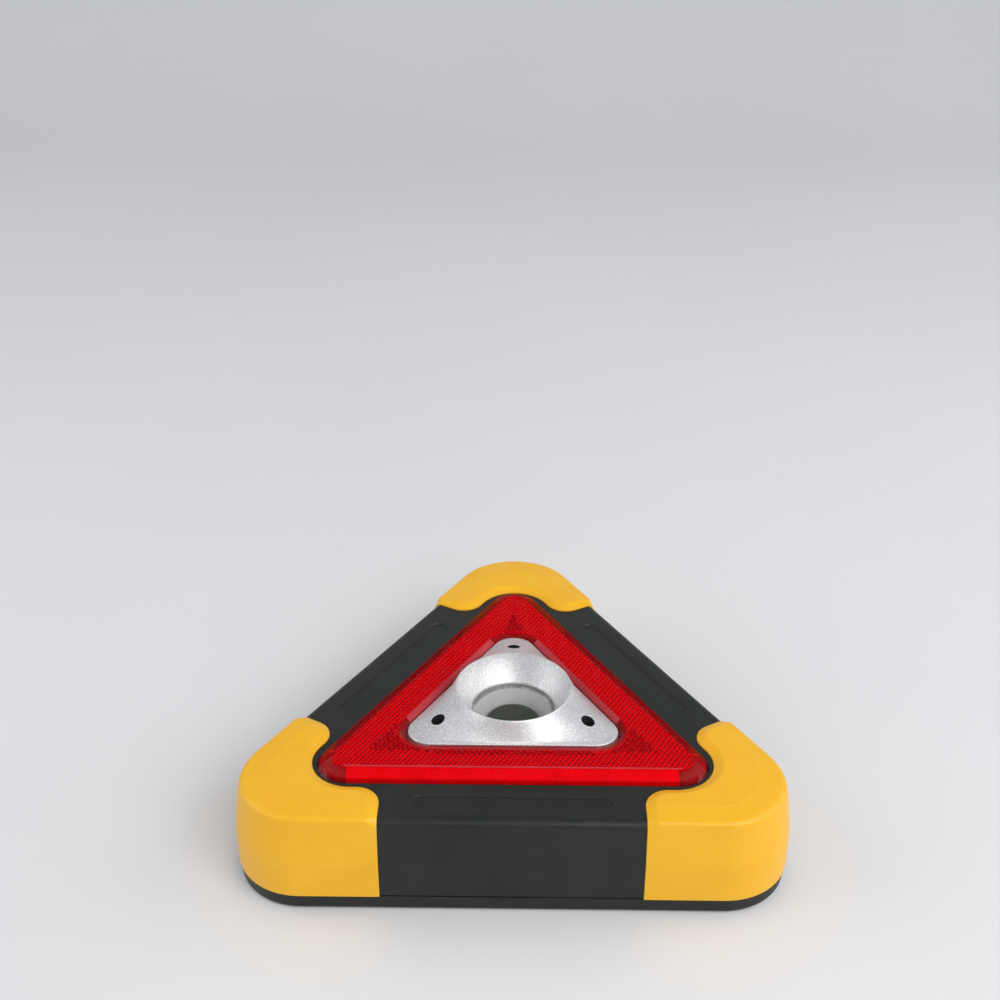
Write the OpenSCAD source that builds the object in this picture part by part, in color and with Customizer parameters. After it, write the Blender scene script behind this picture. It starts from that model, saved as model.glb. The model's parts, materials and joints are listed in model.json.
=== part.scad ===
// Rechargeable warning triangle lamp, folded flat and lying on its back, front face up.
// The apex points to +Y. Sub-parts are drawn round the middle of the triangle and then
// moved so that the origin is under the middle of the whole object, on its back face.

/* [Body] */
// Height of the front face above the back face
body_h = 36; // [36:0.5:38]
// Distance from the middle of the body to each side, at the front face
body_a = 61; // [60.8:0.2:61.6]
// Corner radius of the body at the front face
body_r = 21; // [20:0.5:22]
// How much rounder the corners are at the front face itself
corner_soft = 3; // [2.5:0.5:3.5]
// How far the sides lean out between the front face and the standing band
flare = 1.6; // [1.4:0.1:1.8]
// Height of the top of the standing band
band_h = 20; // [19:0.5:20]
// Height of the joint between the back cover and the front frame
split_h = 6; // [6:0.1:6.4]
// Wall thickness of the moulded shells
wall = 2.4; // [2.3:0.1:2.5]

/* [Corner guards] */
// How far a guard stands out of the sides
guard_proud = 0.8; // [0.6:0.1:1]
// How deep a guard sits in the front frame
guard_in = 1.2; // [1:0.1:1.3]
// How far a guard stands above the front face
guard_top = 2; // [1.8:0.1:2.2]
// Distance from the middle of a side to the end of a guard
guard_end = 43; // [42:0.5:44]
// Distance from the middle of the body to a guard's inner edge
guard_a = 44.8; // [44.6:0.1:45.2]
// Rounding of a guard's inner ends
guard_lobe = 8; // [7:0.5:8]
// Rounding of a guard's inner edge round the lens's corner
guard_in_r = 14; // [13:0.5:14.5]

/* [Red lens] */
// Distance from the middle to the lens's outer wall
lens_a = 41.6; // [41.4:0.1:41.8]
// Height of the lens above the front face
lens_h = 3.5; // [3:0.1:3.6]
// Height of the outer wall above the front face
lens_wall_h = 1.1; // [0.9:0.1:1.3]
// Distance from the middle to the outer edge of the flat top
lens_top_a = 37.3; // [37:0.1:37.6]
// Distance from the middle to the inner edge of the flat top
lens_in_a = 26.6; // [26.4:0.1:26.8]
// Distance from the middle to the lens's inner wall
bore_a = 25; // [24.9:0.1:25.2]

/* [Reflector] */
// Distance from the middle to the sides of the reflector's plate
plate_a = 24.3; // [24:0.1:24.4]
// Height of the plate's edge above the front face
plate_h = 2.4; // [2.2:0.1:2.6]
// Radius of the bowl at its rim
rim_r = 20.1; // [19.8:0.1:20.2]
// Height of the rim above the front face
rim_h = 9.2; // [9:0.1:9.5]
// Radius of the bowl at its foot
foot_r = 14.6; // [14.5:0.1:14.7]
// Distance from the middle to the screw holes
hole_d = 29.8; // [29.4:0.1:30]
// Radius of the screw holes
hole_r = 2.4; // [2.3:0.1:2.5]

/* [Power] */
// Diameter of a battery cell
cell_d = 18.4; // [18.2:0.1:18.4]
// Length of a battery cell
cell_l = 65; // [64.5:0.1:65.2]
// Number of red warning lights along each side
lights_per_side = 6; // [3:1:7]

/* [Stand] */
// Distance from the middle to each arm of the stand
arm_x = 44; // [44:0.1:44.4]
// Width of an arm
arm_w = 8; // [7.6:0.1:8]
// Radius of the steel hinge pins
pin_r = 1.25; // [1.2:0.05:1.3]

/* [Hidden] */

$fn = 48;
arc_steps = 10;             // straight steps in each corner arc of an outline
eps = 1;                    // how far a cutting shape runs past the face that it cuts
gap = 0.3;                  // general clearance round a moving piece

// Body
band_a = body_a + flare;
band_r = body_r + flare;
edge = 3;                   // rounding of the front edge
guard_round = 1.4;          // rounding of a guard's outer edge
guard_slope = 5.6;          // width of a guard's sloping border
guard_slope_h = 0.7;        // drop of that border
cavity_a = body_a - edge;   // upper cavity of the front frame
low_cavity_a = band_a - 2.6;
plate_z = body_h - wall;    // underside of the front plate
mid_y = -(band_a - band_r) / 2;
pill_a = 50.7;              // middle line of the recess in each side of the frame
pill_l = 64.6;
pill_w = 6;
pill_d = 1;

// Red lens
lens_r = 9.5;
lens_top_r = 5;
lens_in_r = 10.3;
bore_r = lens_in_r - (lens_in_a - bore_a);
lens_t = 1.7;               // thickness of the lens's walls
flange_a = lens_a + 2.6;
seal_t = 0.6;
flange_top = plate_z - seal_t;
flange_t = 1.6;

// Reflector and main light
plate_r = 7.7;
skirt_z = body_h - 6;
bowl_t = 1.6;
neck_z = body_h - 0.3;      // foot of the bowl
seat_z = body_h - 0.7;      // underside of the neck, on the convex lens's flange
reflector_z = body_h - 1.9; // lowest face of the bowl's body
dome_rad = 26;              // radius of the convex lens's curve
dome_r = foot_r - 0.1;
dome_flange_r = foot_r + 1.1;
post_top = body_h - 3;
screw_floor = body_h - 1;
holder_z = body_h - 8.5;
star_t = 1.6;
star_z = holder_z - star_t;
sink_r = 16;
sink_z = 22.6;
sink_plate = 1.6;

// Light chassis and ring board
chassis_z = 24.6;
chassis_t = 1.8;
chassis_top = chassis_z + chassis_t;
chassis_a = flange_a + 0.2;
rib_a = flange_a;
rib_t = 1.6;
ear_x = -32;
ear_a = 49.5;
ring_t = 1.6;
ring_a = rib_a - rib_t - 0.3;
light_a = 34.5;             // line of the warning lights along each side
light_w = 5;
light_h = 1.6;

// Screws: positions round the body as [distance along the side, distance from the middle]
boss_r = 3.4;
pilot_r = 1.3;
corner_boss = 80;           // along each corner's bisector
leg_boss_s = 26;
leg_boss_a = 50;
tower_r = 4.2;
tower_h = 8.9;
head_z = 1.2;
head_t = 1.8;
head_r = 2.8;

// Battery box
cell_r = cell_d / 2;
cell_y = [-37.5, -18.6];
cell_z = 2.6 + cell_r;
box_x = 35.6;
box_y0 = cell_y[0] - cell_r - 0.3;
box_y1 = cell_y[1] + cell_r + 0.3;
box_t = 1.3;
box_top = 21.6;
door_t = 2;
door_z = 0.3;
door_x = 37;
door_y0 = box_y0 - 1;
door_y1 = box_y1 + 1.6;
door_axis_y = door_y1 - 0.4;
door_axis_z = 1.7;
door_barrel_r = 1.2;
contact_t = 0.5;

// Stand
stand_z = 0.6;
stand_t = 4.4;
stand_y = 20;               // hinge line
stand_axis_z = 3.4;
barrel_r = 3.2;
bar_y = -53;                // middle of the foot bar
bar_w = 7;
recess_z = 5.4;
barrel_recess_z = 7;
tray_t = 2;
hang_r = 2;

// Controls, on the right side: x runs along the side towards the apex, -y points outwards
controls = 120;
panel_y = 60.2;             // distance of the sunk panel from the middle
panel_z = 25.4;
panel_l = 46;
panel_h = 11;
panel_x = -4;
button_x = -16;
button_r = 4.5;
button_proud = 1.2;
port_x = 6;
port_w = 9;
port_h = 3.2;
strap_x = 13.7;
strap_t = 1.8;
strap_w = 5.6;
pcb_z = 22.2;
pcb_t = 1.6;

module centred() { translate([0, mid_y, 0]) children(); }
module on_side(turn) { rotate(turn) children(); }
module on_each_side() { for (turn = [0, 120, 240]) rotate(turn) children(); }
module on_each_corner(d) { for (turn = [90, 210, 330]) rotate(turn) translate([d, 0, 0]) children(); }
module rod_x(x, y, z, l, r) { translate([x - l / 2, y, z]) rotate([0, 90, 0]) cylinder(h = l, r = r); }
module rod_y(x, y0, y1, z, r) { translate([x, y0, z]) rotate([-90, 0, 0]) cylinder(h = y1 - y0, r = r); }

// Outline of a triangle with inradius a and corners of radius r
function ring(a, r) = [
    for (k = [0:2], i = [0:arc_steps])
        let (c = 90 + 120 * k, w = c - 60 + 120 * i / arc_steps)
        2 * (a - r) * [cos(c), sin(c)] + r * [cos(w), sin(w)]
];
module prism(a, r, z0, z1) {
    translate([0, 0, z0]) linear_extrude(z1 - z0) polygon(ring(a, r));
}
module tri_ring(a, r, t, z0, z1) {
    translate([0, 0, z0]) linear_extrude(z1 - z0) difference() {
        polygon(ring(a, r));
        polygon(ring(a - t, r - t));
    }
}
// Solid through a list of outlines, each [inradius, corner radius, height], from low to high
module loft(levels) {
    m = 3 * (arc_steps + 1);
    n = len(levels);
    polyhedron(
        [for (l = levels, p = ring(l[0], l[1])) [p.x, p.y, l[2]]],
        concat([[for (i = [0:m - 1]) i]], [[for (i = [m - 1:-1:0]) (n - 1) * m + i]],
               [for (j = [0:n - 2], i = [0:m - 1])
                   let (k = (i + 1) % m) [j * m + i, (j + 1) * m + i, (j + 1) * m + k, j * m + k]])
    );
}
// Ring-shaped solid: the outlines in the list follow each other all round its section
module loft_loop(levels) {
    m = 3 * (arc_steps + 1);
    n = len(levels);
    polyhedron(
        [for (l = levels, p = ring(l[0], l[1])) [p.x, p.y, l[2]]],
        [for (j = [0:n - 1], i = [0:m - 1])
            let (k = (i + 1) % m, h = (j + 1) % n) [j * m + i, h * m + i, h * m + k, j * m + k]]
    );
}
// Round tube of radius r along a list of points; ref is any direction the path never takes
module tube(path, r, ref = [0.21, 0.34, 0.92], sides = 8) {
    n = len(path);
    function unit(v) = v / norm(v);
    function dir(i) = unit(path[min(i + 1, n - 1)] - path[max(i - 1, 0)]);
    polyhedron(
        [for (i = [0:n - 1], s = [0:sides - 1])
            let (u = unit(cross(dir(i), ref)), v = cross(dir(i), u), w = 360 * s / sides)
            path[i] + r * (cos(w) * u + sin(w) * v)],
        concat([[for (s = [sides - 1:-1:0]) s]], [[for (s = [0:sides - 1]) (n - 1) * sides + s]],
               [for (i = [0:n - 2], s = [0:sides - 1])
                   let (t = (s + 1) % sides)
                   [i * sides + s, i * sides + t, (i + 1) * sides + t]],
               [for (i = [0:n - 2], s = [0:sides - 1])
                   let (t = (s + 1) % sides)
                   [i * sides + s, (i + 1) * sides + t, (i + 1) * sides + s]])
    );
}
// Corner zone of a guard seen from above: everything past the ends of the two sides that meet
// at the apex. The local frame of a side has x along the side and -y outwards.
module guard_zone(z0, z1) {
    far = 70;
    deep = 40;
    translate([0, 0, z0]) linear_extrude(z1 - z0) difference() {
        for (m = [0, 1]) mirror([m, 0]) rotate(120) {
            translate([guard_end + guard_lobe, -guard_a - guard_lobe]) circle(guard_lobe);
            translate([guard_end + guard_lobe, -guard_a - deep]) square([far, deep]);
            translate([guard_end, -guard_a - deep]) square([far, deep - guard_lobe]);
            translate([guard_end + guard_lobe, -guard_a - 1]) square([far, guard_lobe + 1]);
        }
        polygon(ring(guard_a, guard_in_r));
    }
}
// Body under the guards
module core(z0) {
    loft([[band_a - guard_in, band_r - guard_in, z0],
          [band_a - guard_in, band_r - guard_in, band_h],
          [body_a - guard_in, body_r - guard_in, body_h - edge],
          [body_a - guard_in - edge, body_r - guard_in - edge + corner_soft, body_h - guard_in]]);
}
module guard_shell() {
    a = body_a + guard_proud;
    r = body_r + guard_proud;
    in = guard_round + guard_slope;
    loft([[band_a + guard_proud, band_r + guard_proud, split_h],
          [band_a + guard_proud, band_r + guard_proud, band_h],
          [a, r, body_h - edge],
          [a - guard_round, r - guard_round + corner_soft, body_h + guard_top - guard_slope_h],
          [a - in, r - in + corner_soft, body_h + guard_top]]);
}
module guard(turn) {
    color("gold") centred() rotate(turn) difference() {
        intersection() {
            guard_shell();
            guard_zone(split_h - eps, body_h + guard_top + eps);
        }
        core(split_h - eps);
    }
}
module guard_top_corner() { guard(0); }
module guard_left_corner() { guard(120); }
module guard_right_corner() { guard(240); }

// Places of the five case screws
module at_case_screws() {
    on_each_corner(corner_boss) children();
    for (m = [0, 1]) mirror([m, 0]) rotate(120) translate([leg_boss_s, -leg_boss_a]) children();
}
module at_ears() { on_each_side() translate([ear_x, -ear_a]) children(); }

// Long shallow recess in each side of the front face
module pill() {
    h = pill_w / 2;
    translate([0, -pill_a, body_h - pill_d]) linear_extrude(pill_d + eps) {
        square([pill_l - pill_w, pill_w], center = true);
        for (sx = [-1, 1]) translate([sx * (pill_l / 2 - h), 0]) circle(h);
    }
}
// Sunk panel, and the holes of the button, the charging port and the status lights in it
module panel_cuts() {
    translate([panel_x - panel_l / 2, -panel_y - 8, panel_z - panel_h / 2]) cube([panel_l, 8, panel_h]);
    rod_y(button_x, -panel_y - eps, -cavity_a + eps, panel_z, button_r + 0.2);
    translate([port_x - port_w / 2 - 0.3, -panel_y - eps, panel_z - port_h / 2 - 0.3])
        cube([port_w + 0.6, 5, port_h + 0.6]);
    for (i = [0:3]) rod_y(button_x + 8 + 2.2 * i, -panel_y - eps, -cavity_a + eps, panel_z, 0.7);
    translate([strap_x, -panel_y - eps, panel_z - strap_w / 2]) cube([strap_t, 5, strap_w]);
}
module front_frame() {
    color([0.16, 0.17, 0.16]) centred() difference() {
        union() {
            difference() {
                loft([[band_a, band_r, split_h], [band_a, band_r, band_h],
                      [body_a, body_r, body_h - edge],
                      [body_a - edge, body_r - edge + corner_soft, body_h]]);
                prism(low_cavity_a, band_r - 2.6, split_h - eps, band_h - 1);
                prism(cavity_a, body_r - edge, band_h - eps - 1, plate_z);
            }
            at_case_screws() translate([0, 0, tower_h + 0.1]) cylinder(h = plate_z - tower_h, r = boss_r);
            at_ears() translate([0, 0, chassis_top]) cylinder(h = plate_z - chassis_top + 0.1, r = boss_r);
        }
        for (turn = [0, 120, 240]) rotate(turn) difference() {
            guard_zone(split_h - eps, body_h + eps);
            core(split_h - 2 * eps);
        }
        prism(lens_a + 0.4, lens_r + 0.4, plate_z - eps, body_h + eps);
        on_each_side() pill();
        on_side(controls) panel_cuts();
        at_case_screws() cylinder(h = 28, r = pilot_r);
        at_ears() cylinder(h = 32, r = pilot_r);
    }
}

// Stand, a U of two arms and a foot bar, seen from above and grown by g
module stand_outline(g) {
    x = arm_x + arm_w / 2 + g;
    y0 = bar_y - bar_w / 2 - g;
    in_x = arm_x - arm_w / 2 - g;
    in_y = bar_y + bar_w / 2 + g;
    c = 7;
    polygon([[-x, stand_y], [-x, y0 + c], [-x + c, y0], [x - c, y0], [x, y0 + c], [x, stand_y],
             [in_x, stand_y], [in_x, in_y + 2], [in_x - 2, in_y], [-in_x + 2, in_y],
             [-in_x, in_y + 2], [-in_x, stand_y]]);
}
module hinge_block(g, y0, y1, z0, z1) {
    for (sx = [-1, 1]) translate([sx * arm_x - arm_w / 2 - g, y0, z0])
        cube([arm_w + 2 * g, y1 - y0, z1 - z0]);
}
module back_cover() {
    recess_y0 = stand_y - barrel_r - 0.6;
    recess_y1 = stand_y + barrel_r + 3.6;
    lip_a = low_cavity_a - 0.2;
    box_w = 2 * (box_x + box_t);
    color([0.19, 0.2, 0.19]) centred() difference() {
        union() {
            difference() {
                loft([[band_a - 1.6, band_r - 1.6, 0], [band_a, band_r, 1.6], [band_a, band_r, split_h]]);
                prism(band_a - wall, band_r - wall, wall, split_h + eps);
            }
            tri_ring(lip_a, band_r - 2.8, 1.6, wall - 0.5, split_h + 3);
            translate([0, 0, 1]) linear_extrude(recess_z + tray_t - 1) stand_outline(gap + 0.1 + tray_t);
            hinge_block(gap + 0.1 + tray_t, recess_y0 - tray_t, recess_y1 + tray_t,
                        1, barrel_recess_z + tray_t);
            translate([-box_w / 2, box_y0 - box_t, 1])
                cube([box_w, box_y1 - box_y0 + 2 * box_t, box_top + 0.6 - 1]);
            at_case_screws() cylinder(h = tower_h, r = tower_r);
        }
        translate([0, 0, -eps]) linear_extrude(recess_z + eps) stand_outline(gap + 0.1);
        hinge_block(gap + 0.1, recess_y0, recess_y1, -eps, barrel_recess_z);
        translate([-box_x, box_y0, -eps]) cube([2 * box_x, box_y1 - box_y0, box_top + eps]);
        translate([-door_x - gap, door_y0 - gap, -eps])
            cube([2 * (door_x + gap), door_y1 - door_y0 + 2 * gap, door_z + door_t + 0.1 + eps]);
        for (sx = [-1, 1]) rod_x(sx * 24, door_axis_y, door_axis_z, 9, door_barrel_r + 0.4);
        at_case_screws() {
            translate([0, 0, -eps]) cylinder(h = head_z + head_t + eps, r = head_r + 0.3);
            cylinder(h = tower_h + eps, r = pilot_r + 0.3);
        }
        for (sx = [-1, 1]) rod_x(sx * arm_x, stand_y, stand_axis_z, arm_w + 4, pin_r);
        tri_ring(low_cavity_a + 1.3, band_r - 1.3, 0.8, split_h - 1, split_h + eps);
        for (sx = [-1, 1], y = cell_y) translate([sx * (box_x + box_t / 2), y, cell_z])
            cube([box_t + 2 * gap, 3.2, 0.8], center = true);
    }
}
module case_gasket() {
    color("dimgray") centred() tri_ring(low_cavity_a + 1.3, band_r - 1.3, 0.8, split_h - 1, split_h);
}
module case_screws() {
    color("silver") centred() at_case_screws() {
        translate([0, 0, head_z]) difference() {
            cylinder(h = head_t, r = head_r);
            for (turn = [0, 90]) rotate(turn) cube([3.2, 0.7, 1.6], center = true);
        }
        translate([0, 0, head_z + head_t]) cylinder(h = 14, r = pilot_r);
    }
}

// Red ring lens, hollow underneath, with a flange that is clamped under the front plate
module red_lens() {
    top = body_h + lens_h;
    wall_z = body_h + lens_wall_h;
    low = flange_top - flange_t;
    in_z = top - (lens_in_a - bore_a);
    t = lens_t;
    color([0.8, 0.02, 0.05]) centred() loft_loop([
        [flange_a, lens_r + 2.6, low], [flange_a, lens_r + 2.6, flange_top], [lens_a, lens_r, flange_top],
        [lens_a, lens_r, wall_z], [lens_top_a, lens_top_r, top], [lens_in_a, lens_in_r, top],
        [bore_a, bore_r, in_z], [bore_a, bore_r, low], [bore_a + t, bore_r + t, low],
        [bore_a + t, bore_r + t, in_z - t], [lens_a - t, lens_r - t, in_z - t],
        [lens_a - t, lens_r - t, low]]);
}
module lens_seal() {
    color([0.1, 0.1, 0.1]) centred() tri_ring(flange_a, lens_r + 2.6, 2, flange_top, plate_z);
}

// Bowl of the reflector: radius at height t of the way up, from the foot to the rim
function bowl_radius(t) = foot_r + (rim_r - foot_r) * (1.35 * t - 0.35 * t * t);
module reflector() {
    steps = 8;
    rim_z = body_h + rim_h;
    wall_z = [for (i = [0:steps]) neck_z + (rim_z - neck_z) * i / steps];
    outer = rim_r + 0.8;
    color([0.85, 0.85, 0.86]) centred() difference() {
        union() {
            difference() {
                loft([[plate_a, plate_r, skirt_z], [plate_a, plate_r, body_h + plate_h],
                      [outer, outer - 0.4, rim_z]]);
                prism(plate_a - bowl_t, plate_r - bowl_t, skirt_z - eps, body_h + plate_h - bowl_t);
            }
            translate([0, 0, reflector_z])
                cylinder(h = body_h + plate_h - reflector_z, r = dome_flange_r + 1.6);
            on_each_corner(hole_d) translate([0, 0, post_top]) cylinder(h = rim_h - 2, r = hole_r + 1);
        }
        rotate_extrude($fn = 96) polygon(concat(
            [[0, reflector_z - eps], [dome_flange_r + 0.1, reflector_z - eps],
             [dome_flange_r + 0.1, seat_z], [foot_r, seat_z]],
            [for (i = [0:steps]) [bowl_radius(i / steps), wall_z[i]]],
            [[rim_r, rim_z + 5], [0, rim_z + 5]]));
        on_each_corner(hole_d) {
            translate([0, 0, screw_floor]) cylinder(h = 20, r = hole_r);
            translate([0, 0, post_top - eps]) cylinder(h = 5, r = 1.3);
        }
    }
}
module reflector_screws() {
    color("silver") centred() on_each_corner(hole_d) {
        translate([0, 0, screw_floor]) difference() {
            cylinder(h = 1.5, r = hole_r - 0.3);
            for (turn = [0, 90]) rotate(turn) translate([0, 0, 1.5]) cube([2.6, 0.6, 1.4], center = true);
        }
        translate([0, 0, screw_floor - 7]) cylinder(h = 7, r = 1.1);
    }
}
module convex_lens() {
    color([0.85, 0.9, 0.92]) centred() {
        translate([0, 0, reflector_z]) cylinder(h = seat_z - reflector_z, r = dome_flange_r);
        intersection() {
            translate([0, 0, neck_z - sqrt(dome_rad * dome_rad - dome_r * dome_r)])
                sphere(dome_rad, $fn = 96);
            translate([0, 0, seat_z]) cylinder(h = 10, r = dome_r);
        }
    }
}
module lens_holder() {
    out_r = dome_flange_r + 1.6;
    h = reflector_z - holder_z;
    color("white") centred() translate([0, 0, holder_z]) rotate_extrude()
        polygon([[10.4, 0], [out_r, 0], [out_r, h], [13.6, h], [10.6, 1]]);
}
module star_board() {
    star_r = 12;
    color("whitesmoke") centred() translate([0, 0, star_z]) difference() {
        cylinder(h = star_t, r = star_r);
        for (turn = [0:60:300]) rotate(turn) translate([star_r, 0, -eps]) cylinder(h = 4, r = 1.5);
    }
}
// Round light: a thin base plate with a low dome of silicone on it
module main_led() {
    plate_r = 9.8;
    gel_r = 9.4;
    gel_top = 3.8;
    color("khaki") centred() translate([0, 0, holder_z]) rotate_extrude()
        polygon([[0, 0], [plate_r, 0], [plate_r, 0.8], [gel_r, 0.8], [gel_r, 2.5], [gel_r - 0.3, 3.1],
                 [gel_r - 1.2, 3.5], [gel_r - 3.4, 3.72], [0, gel_top]]);
}
module heat_sink() {
    fins = 6;
    pitch = 4.4;
    color("gray") centred() difference() {
        translate([0, 0, sink_z]) cylinder(h = star_z - sink_z, r = sink_r);
        for (i = [0:fins - 1]) translate([(i - (fins - 1) / 2) * pitch - 1, -20, sink_z - eps])
            cube([2, 40, star_z - sink_z - sink_plate + eps]);
    }
}

// White chassis behind the lens: it carries the lights and clamps the lens's flange
module led_chassis() {
    color("white") centred() difference() {
        union() {
            prism(chassis_a, lens_r + chassis_a - lens_a, chassis_z, chassis_top);
            tri_ring(rib_a, lens_r + 2.6, rib_t, chassis_top - 0.1, flange_top - flange_t);
            on_each_corner(hole_d) translate([0, 0, chassis_z]) cylinder(h = post_top - chassis_z, r = 2.8);
            on_each_side() translate([ear_x, -ear_a, chassis_z]) {
                cylinder(h = chassis_t, r = 4);
                translate([-4, 0, 0]) cube([8, 8, chassis_t]);
            }
        }
        translate([0, 0, chassis_z - eps]) cylinder(h = chassis_t + 2 * eps, r = sink_r + 0.3);
        rotate(20) translate([sink_r - 1, -2, chassis_z - eps]) cube([5, 4, chassis_t + 2 * eps]);
        on_each_corner(hole_d) translate([0, 0, chassis_top]) cylinder(h = 10, r = 1.1);
        at_ears() cylinder(h = 40, r = 1.5);
    }
}
module chassis_screws() {
    color("silver") centred() at_ears() {
        translate([0, 0, chassis_z - 1.6]) cylinder(h = 1.6, r = 2.5);
        translate([0, 0, chassis_z]) cylinder(h = 7, r = pilot_r);
    }
}
module ring_board() {
    hole_a = 28.5;
    color("white") centred() difference() {
        prism(ring_a, lens_r + 1, chassis_top, chassis_top + ring_t);
        prism(hole_a, bore_r, chassis_top - eps, chassis_top + ring_t + eps);
    }
}
module red_leds() {
    span = 96;
    pitch = span / lights_per_side;
    color([0.9, 0.35, 0.3]) centred() on_each_side() for (i = [0:lights_per_side - 1])
        translate([(i - (lights_per_side - 1) / 2) * pitch, -light_a, chassis_top + ring_t]) difference() {
            translate([-light_w / 2, -light_w / 2, 0]) cube([light_w, light_w, light_h]);
            translate([0, 0, light_h - 0.5]) cylinder(h = 1, r = 1.9);
        }
}

// Control board and what it carries
module control_board() {
    color("darkgreen") centred() on_side(controls) translate([-22, -57.4, pcb_z - pcb_t]) difference() {
        cube([36, 11, pcb_t]);
        translate([button_x + 16, -eps, -eps]) cube([12, eps + 2, pcb_t + 2 * eps]);
        for (x = [2.6, 33.4]) translate([x, 8.4, -eps]) cylinder(h = 5, r = 1.2);
    }
}
module board_parts() {
    color([0.25, 0.25, 0.27]) centred() on_side(controls) translate([0, 0, pcb_z - pcb_t]) {
        translate([-5, -51, -4]) cylinder(h = 4, r = 3.2);
        translate([1, -54, -1.6]) cube([6, 4, 1.6]);
        translate([-16, -54, -1.4]) cube([5, 4, 1.4]);
        translate([11, -53, -5]) cylinder(h = 5, r = 2.2);
    }
}
module usb_socket() {
    color("silver") centred() on_side(controls)
        translate([port_x - port_w / 2, -57.6, panel_z - port_h / 2]) difference() {
            cube([port_w, 7.3, port_h]);
            translate([0.35, -eps, 0.35]) cube([port_w - 0.7, 6.4, port_h - 0.7]);
        }
}
module tact_switch() {
    color([0.3, 0.3, 0.3]) centred() on_side(controls) difference() {
        translate([button_x - 3, -53.6, pcb_z]) cube([6, 4, 6.2]);
        rod_y(button_x, -54.6, -51.4, panel_z, 1.75);
    }
}
module switch_plunger() {
    color("ivory") centred() on_side(controls) rod_y(button_x, -55, -52.6, panel_z, 1.6);
}
module status_lights() {
    color("lightblue") centred() on_side(controls)
        for (i = [0:3]) rod_y(button_x + 8 + 2.2 * i, -panel_y + 0.1, -cavity_a + 2.5, panel_z, 0.7);
}
module power_button() {
    color([0.75, 0.1, 0.08]) centred() on_side(controls) {
        rod_y(button_x, -panel_y - button_proud, -cavity_a + 0.1, panel_z, button_r);
        rod_y(button_x, -cavity_a + 0.1, -cavity_a + 1.1, panel_z, button_r + 1);
        rod_y(button_x, -cavity_a + 1.1, -55, panel_z, 2.2);
    }
}
module port_cover() {
    x = port_x - 7;
    color([0.12, 0.12, 0.12]) centred() on_side(controls) {
        translate([x, -panel_y - 1.4, panel_z - 4]) cube([13.4, 1.3, 8]);
        translate([port_x - port_w / 2 + 0.6, -panel_y - 0.1, panel_z - port_h / 2 + 0.2])
            cube([port_w - 1.2, 1.2, port_h - 0.4]);
        translate([x + 13.4, -panel_y - 0.75, panel_z - 4]) cylinder(h = 8, r = 0.65);
    }
}
// Fixed end of the cover's rubber strap, plugged into the panel
module port_strap() {
    color([0.12, 0.12, 0.12]) centred() on_side(controls) {
        translate([strap_x - 0.4, -panel_y - 1.4, panel_z - 4]) cube([strap_t + 1, 1.4, 8]);
        translate([strap_x, -panel_y - 0.1, panel_z - strap_w / 2]) cube([strap_t, 2.8, strap_w]);
        translate([strap_x - 0.3, -cavity_a, panel_z - strap_w / 2 - 0.6])
            cube([strap_t + 0.6, 0.6, strap_w + 1.2]);
    }
}

// Battery
module battery_cells() {
    color("seagreen") centred() for (y = cell_y) {
        translate([-34.6, 0, 0]) {
            translate([1.6, y, cell_z]) rotate([0, 90, 0]) cylinder(h = cell_l - 1.6, r = cell_r - 0.2);
            translate([0, y, cell_z]) rotate([0, 90, 0]) cylinder(h = 1.6, r = 3.2);
        }
    }
}
module contact_springs() {
    turns = 4;
    wire = 0.4;
    x0 = cell_l - 34.6 + wire;
    travel = box_x - contact_t - wire - x0;
    color("silver") centred() for (y = cell_y)
        tube([for (i = [0:12 * turns])
                 let (w = 30 * i, f = i / 12 / turns, r = 2.6 + 2.6 * f)
                 [x0 + f * travel, y + r * cos(w), cell_z + r * sin(w)]], wire, [1, 0, 0], 6);
}
module contact_plates() {
    color("silver") centred() for (y = cell_y, sx = [-1, 1]) {
        translate([sx * (box_x - contact_t / 2), y, cell_z]) cube([contact_t, 12, 12], center = true);
        translate([sx * (box_x + box_t / 2 + 0.3), y, cell_z]) cube([box_t + 1.2, 3, 0.6], center = true);
    }
    color("silver") centred() for (y = cell_y)
        translate([contact_t - box_x - 0.1, y, cell_z]) rotate([0, 90, 0]) cylinder(h = 0.6, r = 2.4);
}
module battery_door() {
    notch_r = 9;
    color([0.21, 0.22, 0.21]) centred() {
        difference() {
            translate([-door_x, door_y0, door_z]) cube([2 * door_x, door_y1 - door_y0 - 2.2, door_t]);
            translate([0, door_y0 - 5, door_z - eps]) cylinder(h = 1 + eps, r = notch_r);
            for (i = [-4:4]) translate([i * 6 - 1, door_y0 + 8, door_z - eps]) cube([2, 20, 0.6 + eps]);
        }
        for (sx = [-1, 1]) {
            rod_x(sx * 24, door_axis_y, door_axis_z, 8, door_barrel_r);
            translate([sx * 24 - 4, door_y1 - 2.4, door_z + 0.6]) cube([8, 2, door_t - 0.8]);
        }
    }
}

// Stand
module stand() {
    color([0.17, 0.18, 0.17]) centred() difference() {
        union() {
            translate([0, 0, stand_z]) linear_extrude(stand_t) stand_outline(0);
            for (sx = [-1, 1]) rod_x(sx * arm_x, stand_y, stand_axis_z, arm_w, barrel_r);
        }
        for (sx = [-1, 1]) rod_x(sx * arm_x, stand_y, stand_axis_z, arm_w + 2, pin_r + 0.05);
        translate([0, bar_y, stand_z - eps]) cylinder(h = stand_t + 2 * eps, r = hang_r);
        translate([-31, bar_y - bar_w / 2 - eps, stand_z + 0.7]) cube([62, 1 + eps, stand_t - 1.4]);
    }
}
module stand_foot() {
    color([0.08, 0.08, 0.08]) centred()
        translate([-31, bar_y - bar_w / 2 - 0.2, stand_z + 0.7]) cube([62, 1.2, stand_t - 1.4]);
}
module stand_pins() {
    color("silver") centred() for (sx = [-1, 1]) rod_x(sx * arm_x, stand_y, stand_axis_z, arm_w + 4, pin_r);
}

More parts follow.
